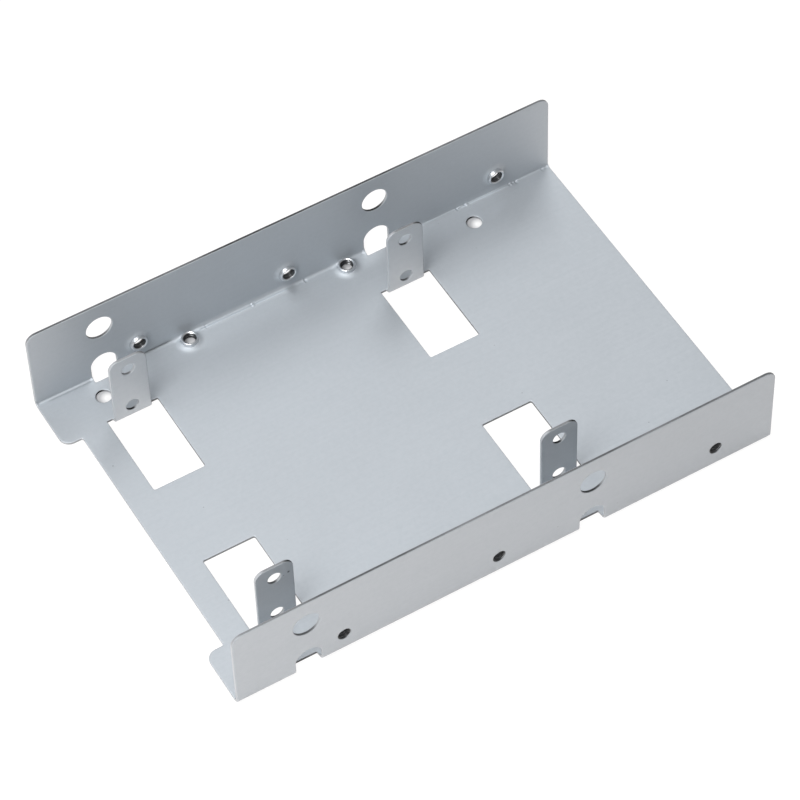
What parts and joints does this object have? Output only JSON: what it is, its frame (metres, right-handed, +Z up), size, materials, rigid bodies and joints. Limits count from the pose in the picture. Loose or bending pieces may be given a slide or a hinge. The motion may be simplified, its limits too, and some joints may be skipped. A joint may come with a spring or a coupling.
{
  "type": "drive bay adapter bracket",
  "caption": "Folded sheet steel tray with side walls and upright screw tabs, which holds small drives in a bay made for a larger drive.",
  "frame": {"origin": "centre of the floor's underside, below the middle of the overall box", "axes": "+X along the length, with the recessed end of the floor at -X; +Y across, square to the walls; +Z up, along the walls and tabs"},
  "size_m": [0.146, 0.1016, 0.0261],
  "materials": {
    "sheet": "satin zinc coating on thin steel sheet"
  },
  "bodies": {
    "root": {"bracket": "sheet"}
  },
  "joints": []
}
